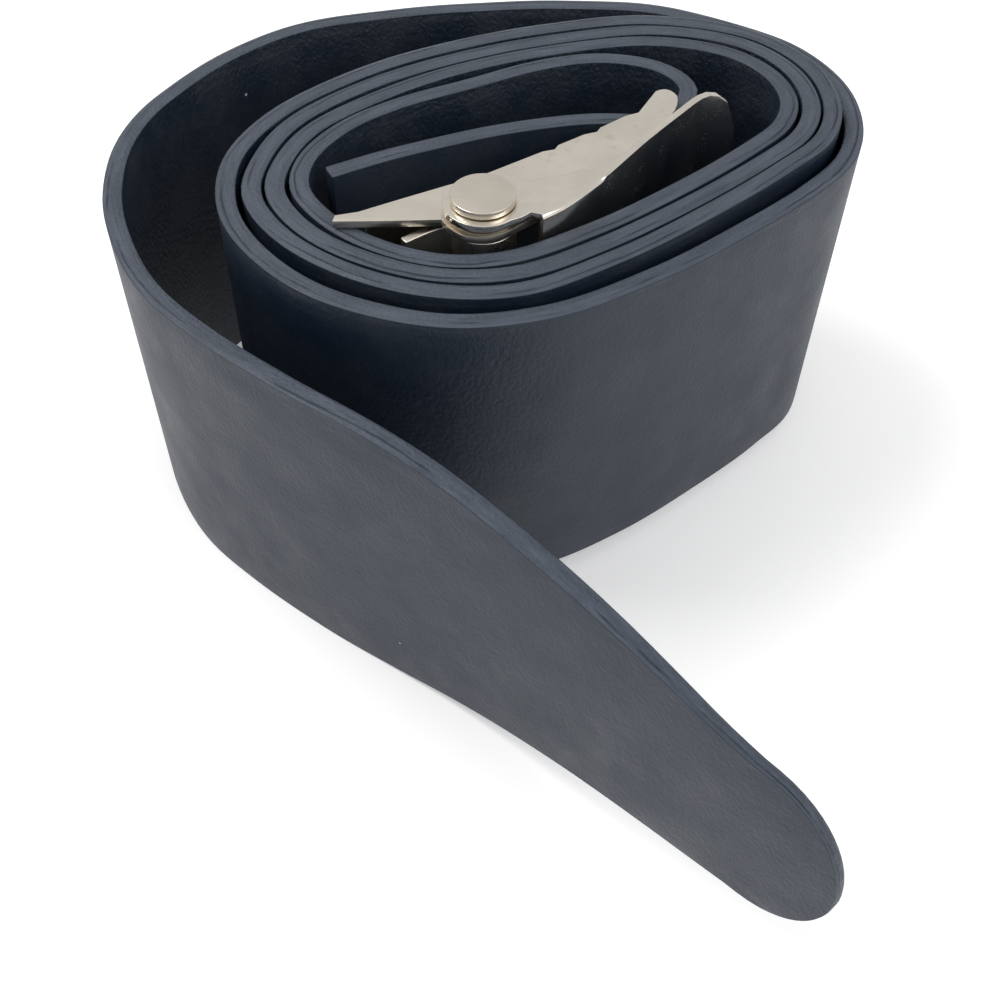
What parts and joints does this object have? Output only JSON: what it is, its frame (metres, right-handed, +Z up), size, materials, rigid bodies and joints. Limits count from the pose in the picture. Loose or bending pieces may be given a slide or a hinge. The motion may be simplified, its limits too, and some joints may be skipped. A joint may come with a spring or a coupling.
{
  "type": "dive weight belt",
  "caption": "Rubber weight belt coiled on its edge around a steel lever buckle, with a tapered free end.",
  "frame": {"origin": "centre of the bounding box in plan, at the level the belt and the buckle's lower rivet head rest on", "axes": "+Z up along the strap's width and the buckle's pin; +Y from the free end's side towards the back of the coil; +X to the right"},
  "size_m": [0.1056, 0.1388, 0.0586],
  "materials": {
    "strap_rubber": "matte moulded rubber, charcoal navy, fine grain",
    "frame_steel": "satin stainless sheet",
    "lever_steel": "satin stainless sheet",
    "pin_steel": "satin stainless, turned head",
    "jaw_steel": "satin stainless, slightly darker"
  },
  "bodies": {
    "strap": {"rubber_strap": "strap_rubber"},
    "frame": {"buckle_frame": "frame_steel", "end_bar": "frame_steel", "pivot_pin": "pin_steel", "washer_upper": "pin_steel", "washer_lower": "pin_steel"},
    "lever_body": {"lever": "lever_steel"},
    "jaw_body": {"jaw": "jaw_steel"}
  },
  "joints": [
    {"name": "frame_swing", "type": "hinge", "parent": "strap", "child": "frame", "pos_m": [0.02329, 0.03459, 0.0293], "axis": [0, 0, 1], "range_deg": [-8, 0]},
    {"name": "lever_open", "type": "hinge", "parent": "frame", "child": "lever_body", "pos_m": [-0.00051, 0.00839, 0.0293], "axis": [0, 0, 1], "range_deg": [-6, 0]},
    {"name": "jaw_swing", "type": "hinge", "parent": "frame", "child": "jaw_body", "pos_m": [-0.00051, 0.00839, 0.0293], "axis": [0, 0, 1], "range_deg": [-18, 0]}
  ]
}
